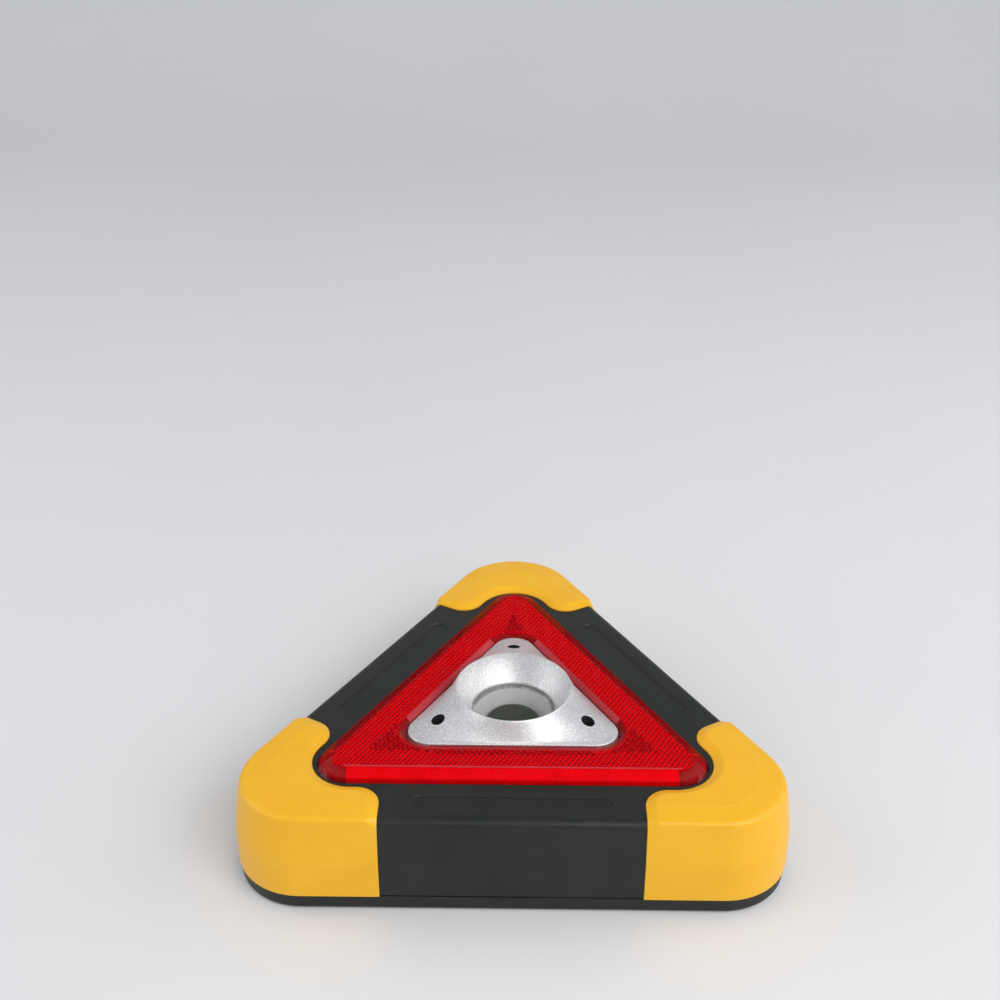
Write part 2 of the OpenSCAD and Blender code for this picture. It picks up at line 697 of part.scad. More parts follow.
// Internal leads
module lead_red() {
    z = cell_z;
    color("red") centred() tube([[-38.6, -18.6, z], [-38.9, -19.5, z + 4], [-39, -23, 19],
        [-37, -28, 23.4], [-30, -30, 23.4], [0, -30, 23.4], [30, -29, 23.4], [42, -20, 23],
        [46, -8, 21], [48.5, 0, 19.6]], 0.6);
}
module lead_black() {
    z = cell_z;
    color([0.08, 0.08, 0.08]) centred() tube([[38.6, -18.6, z], [40, -18, z + 2], [43, -14, z + 4],
        [45, -6, 17.5], [47, 4, 19.2]], 0.6);
}
module led_leads() {
    color("orange") centred() for (t = [-1.4, 1.4]) rotate(20) translate([0, t * 0.7, 0])
        tube([[46, -4, 20], [43, -3, 22.2], [38, -1, 23.5], [24, 0, 23.6], [19.4, 0, 24], [17.8, 0, 25.4],
              [16.2, 0, 26.7], [12.8, 0, 26.75]], 0.55);
}

front_frame();
back_cover();
guard_top_corner();
guard_left_corner();
guard_right_corner();
red_lens();
lens_seal();
reflector();
convex_lens();
lens_holder();
star_board();
main_led();
heat_sink();
led_chassis();
ring_board();
red_leds();
control_board();
board_parts();
usb_socket();
tact_switch();
switch_plunger();
status_lights();
power_button();
port_cover();
port_strap();
battery_cells();
contact_springs();
contact_plates();
battery_door();
stand();
stand_pins();
stand_foot();
case_screws();
reflector_screws();
chassis_screws();
case_gasket();
lead_red();
lead_black();
led_leads();
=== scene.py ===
import json
import math
import random

import bmesh
import bpy
from mathutils import Matrix, Vector


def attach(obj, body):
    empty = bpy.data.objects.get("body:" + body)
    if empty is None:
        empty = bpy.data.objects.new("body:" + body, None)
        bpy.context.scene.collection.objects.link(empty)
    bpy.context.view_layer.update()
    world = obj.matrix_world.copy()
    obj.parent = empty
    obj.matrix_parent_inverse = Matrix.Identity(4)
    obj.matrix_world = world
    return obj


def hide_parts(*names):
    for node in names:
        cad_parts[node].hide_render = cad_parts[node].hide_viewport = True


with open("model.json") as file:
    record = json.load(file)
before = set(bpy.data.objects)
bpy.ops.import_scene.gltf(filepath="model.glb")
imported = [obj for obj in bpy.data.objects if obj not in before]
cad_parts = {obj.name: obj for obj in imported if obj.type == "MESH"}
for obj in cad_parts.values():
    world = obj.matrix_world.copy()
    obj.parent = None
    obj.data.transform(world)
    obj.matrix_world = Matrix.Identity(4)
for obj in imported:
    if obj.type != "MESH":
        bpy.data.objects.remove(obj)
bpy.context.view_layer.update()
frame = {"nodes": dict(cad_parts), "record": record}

# ------------------------------------------------------------------ sizes, in millimetres
MM = 0.001
MID_Y = -20.0                               # the triangle's middle in the part's own frame
FACE = 36.0                                 # height of the front face
ARC = 28                                    # steps in each rounded corner
CORNERS = (90, 210, 330)                    # directions of the corners from the middle
RIGHT = 120                                 # turn from the bottom side to the right one
HOLE_REACH, HOLE_R = 29.8, 2.35             # the reflector's screw holes: way from the middle, radius
PANEL_Z, BUTTON_X, PORT_X = 25.4, -16, 6    # the controls on the right side
PIN_X, PIN_Y, PIN_Z = 44, 20, 3.4           # the stand's pins
LUG_X, LUG_Y, LUG_Z = 24, -7.9, 1.7         # the battery door's lugs
CROSSBAR_Y = -53                            # middle of the stand's crossbar


def deg(a):
    return math.radians(a)


def turn(p, angle):
    c, s = math.cos(deg(angle)), math.sin(deg(angle))
    return (p[0] * c - p[1] * s, p[0] * s + p[1] * c)


# ------------------------------------------------------------------ mesh helpers
def loop_at(a, r, z):
    """Triangle of inradius a, corner radius r and height z, anticlockwise from the apex's right."""
    out = []
    for c in CORNERS:
        for i in range(ARC + 1):
            w = c - 60 + 120 * i / ARC
            out.append((2 * (a - r) * math.cos(deg(c)) + r * math.cos(deg(w)),
                        2 * (a - r) * math.sin(deg(c)) + r * math.sin(deg(w)), z))
    return out


def arc(cx, cy, r, a0, a1, n):
    """Points of an arc, both ends included."""
    angles = [deg(a0 + (a1 - a0) * i / n) for i in range(n + 1)]
    return [(cx + r * math.cos(w), cy + r * math.sin(w)) for w in angles]


def circle(cx, cy, r, n):
    """n points of a whole circle."""
    angles = [deg(360 * i / n) for i in range(n)]
    return [(cx + r * math.cos(w), cy + r * math.sin(w)) for w in angles]


class Shape:
    """Vertices in millimetres round the triangle's middle, and faces with a material number."""

    def __init__(self):
        self.v, self.f, self.m = [], [], []

    def add(self, points):
        start = len(self.v)
        self.v.extend(points)
        return list(range(start, len(self.v)))

    def face(self, ids, mat=0):
        self.f.append(tuple(ids))
        self.m.append(mat)

    def bridge(self, a, b, mat=0, closed=True):
        n = len(a)
        for i in range(n if closed else n - 1):
            j = (i + 1) % n
            self.face((a[i], a[j], b[j], b[i]), mat)

    def loops(self, loops, mat=0, closed=False):
        """Skins a list of equal loops of 3-D points; closed joins the last one to the first."""
        ids = [self.add(p) for p in loops]
        for k in range(len(ids) - (0 if closed else 1)):
            self.bridge(ids[k], ids[(k + 1) % len(ids)], mat)
        return ids

    def solid(self, loops, mat=0):
        """Closed solid: the loops skinned, with a cap on the first and last."""
        ids = self.loops(loops, mat)
        self.face(reversed(ids[0]), mat)
        self.face(ids[-1], mat)


def solid_of(loops):
    s = Shape()
    s.solid(loops)
    return s


def piece(name, shape, *materials):
    """Object of a shape, welded, in metres and in the part's own frame."""
    me = bpy.data.meshes.new(name)
    me.from_pydata([(x * MM, (y + MID_Y) * MM, z * MM) for x, y, z in shape.v], [], shape.f)
    for m in materials:
        me.materials.append(MATS[m])
    me.polygons.foreach_set("material_index", shape.m)
    bm = bmesh.new()
    bm.from_mesh(me)
    bmesh.ops.remove_doubles(bm, verts=bm.verts, dist=2e-7)
    bmesh.ops.dissolve_degenerate(bm, edges=bm.edges, dist=1e-7)
    bmesh.ops.recalc_face_normals(bm, faces=bm.faces)
    bm.to_mesh(me)
    bm.free()
    return link(bpy.data.objects.new(name, me))


def link(o):
    bpy.context.scene.collection.objects.link(o)
    return o


def cutter(loops):
    """Throw-away solid that carve() joins to a piece or takes out of it."""
    return piece("cutter", solid_of(loops), "black_abs")


def polish(o, angle=32, weighted=True):
    """Smooth shading with sharp edges past the angle, and flat faces kept flat beside their fillets."""
    me = o.data
    me.polygons.foreach_set("use_smooth", [True] * len(me.polygons))
    me.set_sharp_from_angle(angle=deg(angle))
    if weighted:
        w = o.modifiers.new("flats", "WEIGHTED_NORMAL")
        w.keep_sharp = True
        w.weight = 80


def carve(o, cutters, operation="DIFFERENCE"):
    """Applies the cutters to o one after the other, and removes them."""
    for c in cutters:
        b = o.modifiers.new("cut", "BOOLEAN")
        b.object, b.operation, b.solver = c, operation, "EXACT"
    dg = bpy.context.evaluated_depsgraph_get()
    dg.update()
    me = bpy.data.meshes.new_from_object(o.evaluated_get(dg), depsgraph=dg)
    o.modifiers.clear()
    old, o.data = o.data, me
    bpy.data.meshes.remove(old)
    for c in cutters:
        bpy.data.objects.remove(c)
    bm = bmesh.new()
    bm.from_mesh(me)
    bmesh.ops.remove_doubles(bm, verts=bm.verts, dist=1e-6)
    bmesh.ops.dissolve_degenerate(bm, edges=bm.edges, dist=5e-7)
    bm.to_mesh(me)
    bm.free()


def hand_in(o, node, body="housing"):
    """Says which body a piece rides, which CAD node it replaces, if any."""
    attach(o, body)
    if node:
        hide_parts(node)


# ------------------------------------------------------------------ materials
MATS = {}


class Nodes:
    """One material's node tree. A grain is a noise's scale, detail and roughness."""

    def __init__(self, name):
        mat = bpy.data.materials.new(name)
        mat.use_nodes = True
        self.tree = mat.node_tree
        self.tree.nodes.clear()
        self.shader = self.new("ShaderNodeBsdfPrincipled")
        self.join(self.shader.outputs[0], self.new("ShaderNodeOutputMaterial").inputs[0])
        self.coords = self.new("ShaderNodeTexCoord").outputs["Object"]
        MATS[name] = mat

    def new(self, kind, **values):
        n = self.tree.nodes.new(kind)
        for k, v in values.items():
            if k in n.inputs:
                n.inputs[k].default_value = v
            else:
                setattr(n, k, v)
        return n

    def join(self, a, b):
        self.tree.links.new(a, b)

    def set(self, **values):
        for k, v in values.items():
            self.shader.inputs[k.replace("_", " ")].default_value = v

    def noise(self, grain, stretch=None):
        scale, detail, rough = grain
        n = self.new("ShaderNodeTexNoise", Scale=scale, Detail=detail, Roughness=rough)
        source = self.coords
        if stretch:
            m = self.new("ShaderNodeMapping")
            m.inputs["Scale"].default_value = stretch
            self.join(self.coords, m.inputs["Vector"])
            source = m.outputs[0]
        self.join(source, n.inputs["Vector"])
        return n.outputs["Fac"]

    def cells(self, scale):
        n = self.new("ShaderNodeTexVoronoi", Scale=scale)
        self.join(self.coords, n.inputs["Vector"])
        return n

    def span(self, value, low=0.0, high=1.0, from_low=0.3, from_high=0.7):
        m = self.new("ShaderNodeMapRange")
        for k, v in (("From Min", from_low), ("From Max", from_high), ("To Min", low), ("To Max", high)):
            m.inputs[k].default_value = v
        self.join(value, m.inputs["Value"])
        return m.outputs[0]

    def colour(self, factor, a, b):
        """Base colour that goes from a to b with the factor."""
        m = self.new("ShaderNodeMix", data_type="RGBA")
        self.join(factor, m.inputs[0])
        m.inputs[6].default_value = (*a, 1)
        m.inputs[7].default_value = (*b, 1)
        self.join(m.outputs[2], self.shader.inputs["Base Color"])

    def drift(self, grain, a, b):
        """Base colour that drifts between a and b."""
        self.colour(self.span(self.noise(grain)), a, b)

    def gloss(self, source, low, high):
        self.join(self.span(source, low, high), self.shader.inputs["Roughness"])

    def bump(self, height, strength, distance, after=None):
        b = self.new("ShaderNodeBump", Strength=strength, Distance=distance)
        self.join(height, b.inputs["Height"])
        if after is not None:
            self.join(after, b.inputs["Normal"])
        return b.outputs[0]

    def relief(self, *bump):
        self.join(self.bump(*bump), self.shader.inputs["Normal"])


def moulded(name, base, light, roughness, grain=1980, depth=0.00002, spec=0.5):
    """Injection-moulded plastic: fine spark-eroded grain, uneven gloss and a little colour drift."""
    spread = 0.06
    n = Nodes(name)
    n.set(Specular_IOR_Level=spec)
    n.drift((70, 4, 0.6), base, light)
    n.gloss(n.noise((45, 5, 0.65)), roughness - spread, roughness + spread)
    fine = n.bump(n.noise((grain, 2, 0.6)), 0.25, depth)
    n.relief(n.noise((18, 2, 0.5)), 0.12, 0.0004, fine)


def metal(name, base, roughness, stretch=None):
    """Bare metal with fine streaks, drawn out where stretch says so."""
    spread, brighter = 0.08, 1.12
    n = Nodes(name)
    n.set(Metallic=1.0)
    streak = n.noise((400, 4, 0.6), stretch)
    n.drift((60, 4, 0.6), base, tuple(min(1, c * brighter) for c in base))
    n.gloss(streak, roughness - spread, roughness + spread)
    n.relief(streak, 0.3, 0.00001)


def silver_paint(name):
    """Satin silver lacquer with fine flakes that catch the light one by one."""
    n = Nodes(name)
    n.set(Metallic=0.8, Specular_IOR_Level=0.5)
    flakes = n.cells(3400)
    glint = n.span(flakes.outputs["Color"], from_low=0.45, from_high=0.95)
    n.colour(glint, (0.64, 0.64, 0.645), (0.96, 0.96, 0.96))
    n.gloss(n.noise((50, 4, 0.6)), 0.42, 0.50)
    n.relief(flakes.outputs["Distance"], 0.45, 0.00008)


def see_through(name, colour, light, alpha, roughness, ripple, spec):
    """Clear or tinted plastic that shows what is right under it."""
    n = Nodes(name)
    n.set(Alpha=alpha, Coat_Weight=0.5 * spec, Coat_Roughness=0.03, Specular_IOR_Level=spec)
    n.drift((90, 3, 0.6), colour, light)
    n.gloss(n.noise((30, 3, 0.5)), roughness - 0.02, roughness + 0.03)
    n.relief(n.noise((60, 2, 0.5)), ripple, 0.0002)


def cell_plastic(name):
    """Red plastic of the reflecting cells under the lens's face."""
    n = Nodes(name)
    n.set(Specular_IOR_Level=0.03)
    n.drift((120, 3, 0.6), (0.80, 0.0, 0.002), (0.95, 0.0, 0.005))
    n.gloss(n.noise((80, 3, 0.6)), 0.24, 0.36)
    n.relief(n.noise((500, 2, 0.5)), 0.2, 0.00003)


moulded("black_abs", (0.010, 0.0125, 0.011), (0.015, 0.018, 0.0155), 0.42, spec=0.34)
moulded("yellow_tpe", (0.87, 0.44, 0.008), (0.91, 0.48, 0.012), 0.40, grain=1540, spec=0.45)
moulded("white_abs", (0.74, 0.74, 0.71), (0.80, 0.80, 0.78), 0.45)
moulded("white_board", (0.70, 0.72, 0.70), (0.78, 0.79, 0.77), 0.35, grain=1100)
moulded("green_board", (0.012, 0.09, 0.035), (0.018, 0.12, 0.045), 0.35, grain=1100)
moulded("dark_parts", (0.02, 0.02, 0.022), (0.035, 0.035, 0.04), 0.4)
moulded("light_pipe", (0.55, 0.7, 0.78), (0.62, 0.78, 0.86), 0.2, grain=660)
moulded("red_button", (0.42, 0.015, 0.01), (0.50, 0.025, 0.015), 0.42)
moulded("black_rubber", (0.013, 0.013, 0.013), (0.02, 0.02, 0.02), 0.72, spec=0.35)
moulded("cell_wrap", (0.02, 0.18, 0.12), (0.03, 0.23, 0.15), 0.25, grain=440, depth=0.00001)
moulded("red_wire", (0.45, 0.01, 0.01), (0.55, 0.02, 0.02), 0.4)
moulded("black_wire", (0.015, 0.015, 0.015), (0.025, 0.025, 0.025), 0.4)
moulded("yellow_wire", (0.65, 0.35, 0.01), (0.72, 0.42, 0.02), 0.4)
moulded("led_package", (0.6, 0.15, 0.1), (0.75, 0.25, 0.18), 0.3)
moulded("led_chip", (0.035, 0.042, 0.024), (0.055, 0.062, 0.038), 0.3, spec=0.12)
# painted shade: dark red for the walls between the cells and the ends of the teeth
moulded("cell_gap_shade", (0.16, 0.0005, 0.003), (0.22, 0.001, 0.005), 0.6, spec=0.03)
# painted shade: near black for the dashes among the cells and the bars between the teeth
moulded("cell_painted_shade", (0.002, 0.0002, 0.0003), (0.005, 0.0005, 0.0007), 0.7, spec=0.02)
cell_plastic("cell_red")
metal("steel", (0.52, 0.51, 0.49), 0.30)
metal("aluminium", (0.66, 0.67, 0.69), 0.34, stretch=(1, 14, 1))
silver_paint("satin_reflector")
see_through("clear_lens", (0.05, 0.055, 0.05), (0.08, 0.085, 0.08), alpha=0.14, roughness=0.03,
            ripple=0.02, spec=0.9)
see_through("red_lens", (0.80, 0.002, 0.006), (0.90, 0.003, 0.009), alpha=0.20, roughness=0.06,
            ripple=0.05, spec=0.1)
# painted sheen: a lighter, rougher pink for the reflection on the inner slopes and the highlight on the
# bottom crest
see_through("red_lens_painted_sheen", (0.55, 0.035, 0.05), (0.62, 0.05, 0.065), alpha=0.75, roughness=0.45,
            ripple=0.2, spec=0.2)


# ------------------------------------------------------------------ front frame
def corner_centre(z):
    """Way from the middle to the centre of the body's corner rounding, at height z from the front face."""
    least, swell, top, drop = 74.0, 6.0, 1.4, 5.4
    t = min(1.0, max(0.0, (top - z) / drop))
    return least + swell * math.sqrt(1 - (1 - t) ** 2)


def body_loop(a, z):
    return loop_at(a, a - corner_centre(z - FACE) / 2, z)


def side_point(side_turn, along, a, z):
    """Point at distance a from the middle, over a side and so far along it."""
    x, y = turn((along, -a), side_turn)
    return (x, y, z)


def capsule(length, width, n=14):
    """Outline with two round ends, along x."""
    h, r = (length - width) / 2, width / 2
    return arc(h, 0, r, -90, 90, n) + arc(-h, 0, r, 90, 270, n)


def front_frame():
    """Black front half of the casing, with a window for the lens and three sunk grip panels."""
    side, edge, opening_r = 58, 3.0, 32.1
    rows = [(side + edge * math.sin(deg(w)), FACE - edge + edge * math.cos(deg(w))) for w in range(0, 91, 10)]
    rows += [(61.16, FACE - 4.2), (62.35, 22.0), (62.52, 20.6), (62.6, 19.0), (62.6, 6.5), (62.3, 6.12)]
    rows += [(60.0, 6.12), (60.0, 18.2), (58.0, 19.0), (58.0, FACE - 2.4)]
    window = [(44.8, -2.4), (42.05, -2.4), (42.05, -0.5), (42.12, -0.22), (42.3, -0.06), (42.55, 0)]
    s = Shape()
    s.loops([body_loop(a, z) for a, z in rows] + [loop_at(a, a - opening_r, FACE + z) for a, z in window],
            closed=True)
    o = piece("front_frame_visual", s, "black_abs")
    carve(o, [grip_cutter(120 * k) for k in range(3)] + panel_cutters())
    polish(o)
    hand_in(o, "front_frame")


def grip_cutter(side_turn):
    """Shallow pill-shaped panel with a rounded edge, sunk in one side of the front face."""
    length, width, middle = 64.6, 6.0, 50.7
    edge = [(-0.4, -0.65), (-0.14, -0.6), (0.0, -0.44), (0.1, -0.16), (0.22, -0.04), (0.34, 0.0), (0.9, 0.5)]
    return cutter([[side_point(side_turn, x, middle - y, FACE + z)
                    for x, y in capsule(length + 2 * grow, width + 2 * grow)] for grow, z in edge])


def rounded_box(w, h, r, n=6):
    return (arc(w / 2 - r, h / 2 - r, r, 0, 90, n) + arc(-w / 2 + r, h / 2 - r, r, 90, 180, n)
            + arc(-w / 2 + r, -h / 2 + r, r, 180, 270, n) + arc(w / 2 - r, -h / 2 + r, r, 270, 360, n))


def panel_cutters():
    """Sunk panel in the right side, with the holes for the button, the port and the four small lights."""
    def hole(points, levels, x, z=PANEL_Z):
        """Levels are (way from the middle, how much wider)."""
        return cutter([[side_point(RIGHT, x + px * (1 + g), a, z + pz * (1 + g)) for px, pz in points]
                       for a, g in levels])

    panel = [(60.2, -0.02), (60.5, 0.0), (61.0, 0.004), (64.0, 0.02)]
    panel_x, lift = -4, 0.05
    light_x, light_pitch, light = -8, 2.2, circle(0, 0, 0.71, 24)
    out = [hole(rounded_box(45.2, 10.4, 2.6), panel, panel_x, PANEL_Z + lift),
           hole(circle(0, 0, 4.72, 45), [(56.5, 0), (59.9, 0), (60.3, 0.09)], BUTTON_X),
           hole(rounded_box(9.6, 3.8, 1.5), [(56.5, 0), (59.95, 0), (60.3, 0.06)], PORT_X)]
    return out + [hole(light, [(56.5, 0), (60.05, 0), (60.3, 0.3)], light_x + light_pitch * i)
                  for i in range(4)]


# ------------------------------------------------------------------ corner guards
def guard_rows():
    """Outer surface, rim and case surface of a guard, row by row from the crease down: (a, z) each."""
    rows = [((54.8, 2.0), (54.8, 0.7), (54.8, 0.0)), ((54.98, 1.9), (54.98, 0.7), (54.98, 0.0)),
            ((55.3, 1.83), (55.3, 0.7), (55.3, 0.0)), ((57.6, 1.6), (57.6, 0.7), (57.4, 0.0)),
            ((60.1, 1.36), (59.2, 0.5), (59.0, -0.17))]
    for w in range(75, -1, -15):
        c, n = math.cos(deg(w)), math.sin(deg(w))
        rows.append(((60.4 + 1.36 * c, -0.1 + 1.4 * n), (58 + 3.7 * c, -3 + 3.7 * n),
                     (58 + 3 * c, -3 + 3 * n)))
    most, groove = 1.58, 0.06
    for z in (-4.2, -9.0, -14.4, -15.4, -16.4, -17.4, -23.0, -29.4):
        lean = most * min(1.0, max(0.0, (-z - 3) / 13)) - (groove if z in (-15.4, -16.4) else 0.0)
        rows.append(((61.68 + lean, z), (61.6 + lean, z), (61.0 + lean, z)))
    rows.append(((63.16, -29.8), (63.1, -29.8), (62.6, -29.8)))
    return rows


# Lines along the guard's rounded inner edge: how far in each lies, its share of the way from the case
# surface up to the rim, and its share from the rim to the outer surface. The first is under the case surface.
EDGE_STEPS = [(0.0, -0.8, 0), (0.0, 0.5, 0), (0.03, 0.72, 0), (0.12, 0.9, 0), (0.28, 1, 0), (0.45, 1, 0.05),
              (1.0, 1, 0.24), (1.8, 1, 0.52), (2.5, 1, 0.76), (2.95, 1, 0.90), (3.25, 1, 0.965),
              (3.6, 1, 0.992), (4.0, 1, 1)]


def guard(name, node, corner_turn):
    """Soft corner guard: one skin outside and one under the case surface, joined along edge and rim."""
    rows = guard_rows()
    k = len(rows)
    end, lobe, inner_a, inner_r, flat_a = 43.0, 8.0, 44.8, 14.0, (54.1, 53.4)
    lobe_steps, bend_steps, row_steps = 16, 36, 20
    s = Shape()

    def place(leg, along, a, z):
        """Leg 1 is the right side of the apex, leg -1 the left one."""
        x, y = turn((along, -a), RIGHT)
        x, y = turn((x * leg, y), corner_turn)
        return (x, y, FACE + z)

    def level(row, up, out):
        outer, rim, case = row
        if up < 1:
            return (case[0] + (rim[0] - case[0]) * up, case[1] + (rim[1] - case[1]) * up)
        return (rim[0] + (outer[0] - rim[0]) * out, rim[1] + (outer[1] - rim[1]) * out)

    def round_the_corner(half, centre, r, n, z):
        """Both legs, joined by an arc round the corner."""
        bend = [turn(q, corner_turn) for q in arc(0, centre, r, 30, 150, n)]
        right = [place(1, *q) for q in half]
        left = [place(-1, *q) for q in half]
        return right + [(x, y, FACE + z) for x, y in bend] + left[::-1]

    def contour(d, up, out):
        """One line round the inner edge, d inside it: down the right leg, round and up the left leg."""
        half = [(end + d, *level(row, up, out)) for row in reversed(rows)]
        _, z = level(rows[0], up, out)
        half += [(end + d, a, z) for a in flat_a]
        half += [(x, a, z) for x, a in arc(end + lobe, inner_a + lobe, lobe - d, 180, 270, lobe_steps)]
        return round_the_corner(half, 2 * (inner_a - inner_r), inner_r + d, bend_steps, z)

    def row_line(a, z, d):
        """One line along the outer side from the right end to the left end, the ends left out."""
        centre = corner_centre(z)
        reach = centre * math.sin(deg(60)) - end - d
        half = [(end + d + reach * i / row_steps, a, z) for i in range(1, row_steps)]
        return round_the_corner(half, centre, a - centre / 2, 2 * ARC, z)

    def skin(line, d, up, out):
        """The rows from the crease down, between the ends of an edge line, and the flat part above them."""
        made = []
        for j, row in enumerate(rows):
            ids = s.add(row_line(*level(row, up, out), d))
            made.append([line[k - 1 - j]] + ids + [line[len(line) - k + j]])
        for a, b in zip(made, made[1:]):
            s.bridge(a, b, closed=False)
        s.face(line[k - 1:len(line) - k + 1] + made[0][-2:0:-1])
        return made

    edge = [s.add(contour(*step)) for step in EDGE_STEPS]
    for a, b in zip(edge, edge[1:]):
        s.bridge(a, b, closed=False)
    outside = skin(edge[-1], *EDGE_STEPS[-1])
    under = skin(edge[0], *EDGE_STEPS[0])
    rim = [line[0] for line in edge] + outside[-1][1:-1] + [line[-1] for line in reversed(edge)]
    s.face(rim + under[-1][-2:0:-1])
    crease = [{spot_key(s.v[i]) for i in line} for line in outside[:2]]
    o = piece(name, s, "yellow_tpe")
    me = o.data
    bm = bmesh.new()
    bm.from_mesh(me)
    bmesh.ops.triangulate(bm, faces=[f for f in bm.faces if len(f.verts) > 4])
    bm.to_mesh(me)
    bm.free()
    polish(o, 40)
    keys = [spot_key((v.co.x / MM, v.co.y / MM - MID_Y, v.co.z / MM)) for v in me.vertices]
    for e in me.edges:
        a, b = (keys[v] for v in e.vertices)
        if any(a in line and b in line for line in crease):
            e.use_edge_sharp = True
    hand_in(o, node)


def spot_key(spot):
    """A point, rounded so that the same point in two meshes compares equal."""
    return tuple(round(c * 50) for c in spot)


# ------------------------------------------------------------------ red lens
# Section of the hollow lens, (inradius, corner radius, height from the face): up the outside, over the crest,
# across the face, down the inner slope, and back under them inside
LENS_PROFILE = [
    (44.2, 12.1, -4.6), (44.2, 12.1, -3.0), (41.6, 9.5, -3.0), (41.6, 9.5, 0.55), (41.57, 9.47, 0.85),
    (41.42, 9.32, 1.1), (41.15, 9.05, 1.3), (37.75, 5.35, 3.33), (37.5, 5.15, 3.46), (37.2, 4.95, 3.53),
    (36.8, 4.7, 3.55), (26.95, 10.6, 3.55), (26.7, 10.4, 3.5), (26.5, 10.2, 3.37), (25.25, 8.95, 2.12),
    (25.08, 8.78, 1.92), (25.0, 8.7, 1.65), (25.0, 8.7, -4.6), (26.4, 10.1, -4.6), (26.4, 10.1, 2.3),
    (27.3, 10.9, 2.95), (36.8, 4.8, 2.95), (40.9, 8.8, 0.75), (40.9, 8.8, -4.6)]
INNER_SLOPE = 12         # first of the profile's four inner slope faces
CREST = 7            # first of the two outer faces that round the crest


def red_lens():
    """Hollow ring lens, with a lighter pink painted sheen on the straight parts of its inner slopes and a
    painted highlight along the crest of its bottom side.
    """
    s = Shape()
    s.loops([loop_at(a, r, FACE + z) for a, r, z in LENS_PROFILE], closed=True)
    # painted sheen on the straight inner slopes, painted highlight on the bottom side's crest
    for i in range(len(s.m)):
        row, spot = divmod(i, len(CORNERS) * (ARC + 1))
        slope = INNER_SLOPE <= row < INNER_SLOPE + 4 and spot % (ARC + 1) == ARC
        crest = CREST <= row < CREST + 2 and spot == 2 * ARC + 1
        s.m[i] = 1 if slope or crest else 0
    o = piece("red_lens_visual", s, "red_lens", "red_lens_painted_sheen")
    polish(o, 28)
    hand_in(o, "red_lens")


def nearest_edge(x, y, a, r):
    """Unit normal and distance of the tangent of a rounded triangle beside a point."""
    for c in CORNERS:
        px, py = 2 * (a - r) * math.cos(deg(c)), 2 * (a - r) * math.sin(deg(c))
        w = (math.degrees(math.atan2(y - py, x - px)) - c + 180) % 360 - 180
        if abs(w) < 60:
            nx, ny = math.cos(deg(w + c)), math.sin(deg(w + c))
            return nx, ny, nx * px + ny * py + r
    sides = [turn((0, -1), 120 * k) for k in range(3)]
    nx, ny = max(sides, key=lambda n: x * n[0] + y * n[1])
    return nx, ny, a


def clip(points, nx, ny, d):
    """The part of a convex outline on the near side of a line."""
    out = []
    for (x0, y0), (x1, y1) in zip(points, points[1:] + points[:1]):
        e0, e1 = nx * x0 + ny * y0 - d, nx * x1 + ny * y1 - d
        if e0 <= 0:
            out.append((x0, y0))
        if (e0 < 0 < e1) or (e1 < 0 < e0):
            t = e0 / (e0 - e1)
            out.append((x0 + (x1 - x0) * t, y0 + (y1 - y0) * t))
    return out


def area_of(points):
    return sum(x0 * y1 - x1 * y0 for (x0, y0), (x1, y1) in zip(points, points[1:] + points[:1])) / 2


ROW, CELL = 1.56, 1.36             # spacing of the rows of cells, and of the cells in a row
OUT_A, OUT_R = 37.0, 4.9           # outer outline of the field of cells
IN_A, IN_R = 27.35, 11.0           # its inner outline
TOOTH_SIDES = (1, 2)               # the two upper sides have teeth on their slopes
DASH_TURN = -30
GAP_SHADE, PAINTED_SHADE = 1, 2                   # materials of the lens's inner face, after its red: painted shade on the cell walls, and darker painted shade


def gem(s, points, shift):
    """One reflecting cell: an upright prism with a shallow pyramid on it, its tip shifted a little. Its walls
    are painted dark as shade.
    """
    low, rim, tip = FACE + 1.95, FACE + 2.45, FACE + 2.8
    mx = sum(x for x, _ in points) / len(points) + shift[0]
    my = sum(y for _, y in points) / len(points) + shift[1]
    a = s.add([(x, y, low) for x, y in points])
    b = s.add([(x, y, rim) for x, y in points])
    t = s.add([(mx, my, tip)])[0]
    s.face(a[::-1])
    for i in range(len(points)):
        j = (i + 1) % len(points)
        s.face((a[i], a[j], b[j], b[i]), GAP_SHADE)
        s.face((b[i], b[j], t))


def add_gems(s):
    """Rows of cells right under the lens's flat face, cut off at the edges of the field."""
    slant, half_gap, corner, reach = 60, (0.07, 0.21), 0.22, 85
    near, far, spill, least_area, wobble = 24, 76, 0.8, 0.12, 0.05
    half, across = CELL / 2 - half_gap[0], ROW / 2 - half_gap[1]
    flat = half - corner
    outline = [(half, 0), (flat, across), (-flat, across), (-half, 0), (-flat, -across), (flat, -across)]
    for j in range(-reach, reach + 1):
        for i in range(-reach, reach + 1):
            cx, cy = turn(((i + 0.5 * (j % 2)) * CELL, j * ROW), slant)
            if not near <= math.hypot(cx, cy) <= far:
                continue
            nx, ny, d = nearest_edge(cx, cy, OUT_A, OUT_R)
            mx, my, e = nearest_edge(cx, cy, IN_A, IN_R)
            if nx * cx + ny * cy > d + spill or mx * cx + my * cy < e - spill:
                continue
            cell = [(cx + x, cy + y) for x, y in (turn(q, slant) for q in outline)]
            cell = clip(clip(cell, nx, ny, d), -mx, -my, -e)
            if len(cell) < 3 or area_of(cell) < least_area:
                continue
            gem(s, cell, (random.uniform(-wobble, wobble), random.uniform(-wobble, wobble)))


